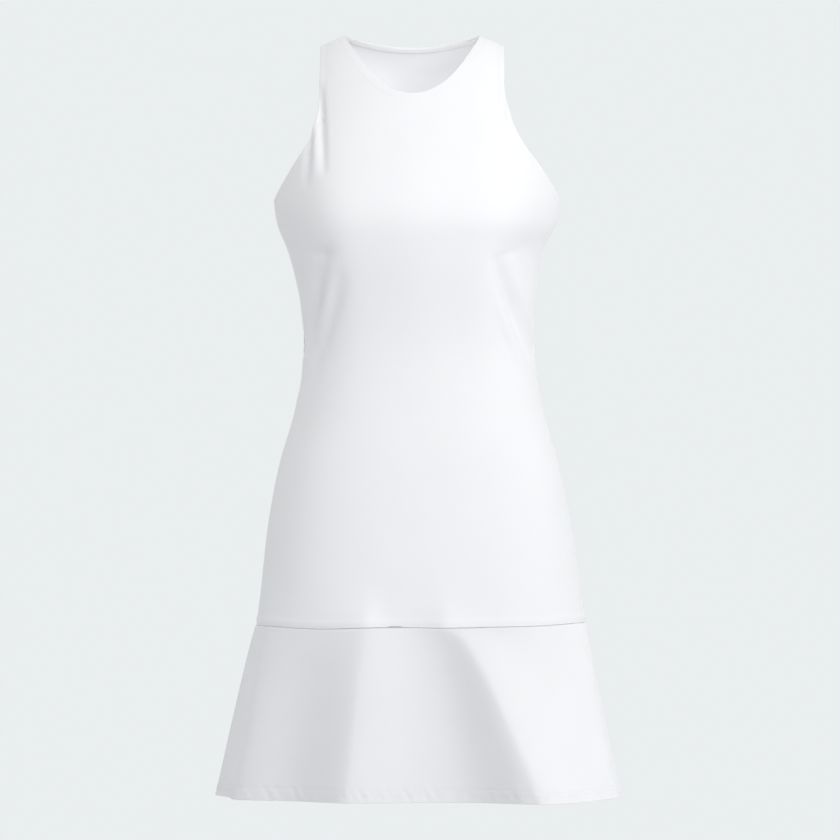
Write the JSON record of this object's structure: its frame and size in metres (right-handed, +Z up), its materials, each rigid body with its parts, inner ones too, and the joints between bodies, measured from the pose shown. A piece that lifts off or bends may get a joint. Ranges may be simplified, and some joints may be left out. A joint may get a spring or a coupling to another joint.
{
  "type": "tennis dress",
  "caption": "Sleeveless fitted tennis dress in its worn, hollow shape, with a scooped neck, a narrow back and a flared flounce below the hips.",
  "frame": {"origin": "midpoint between the wearer's shoulders, on the line where the shoulder seams rest", "axes": "+Z up, -Y to the wearer's front, +X to the wearer's left"},
  "size_m": [0.4464, 0.4142, 0.8359],
  "materials": {
    "knit": "matt smooth knit",
    "tape": "matt knitted tape"
  },
  "bodies": {
    "root": {"front_bodice": "knit", "back_bodice": "knit", "front_flounce": "knit", "back_flounce": "knit", "neck_tape": "tape"}
  },
  "joints": []
}
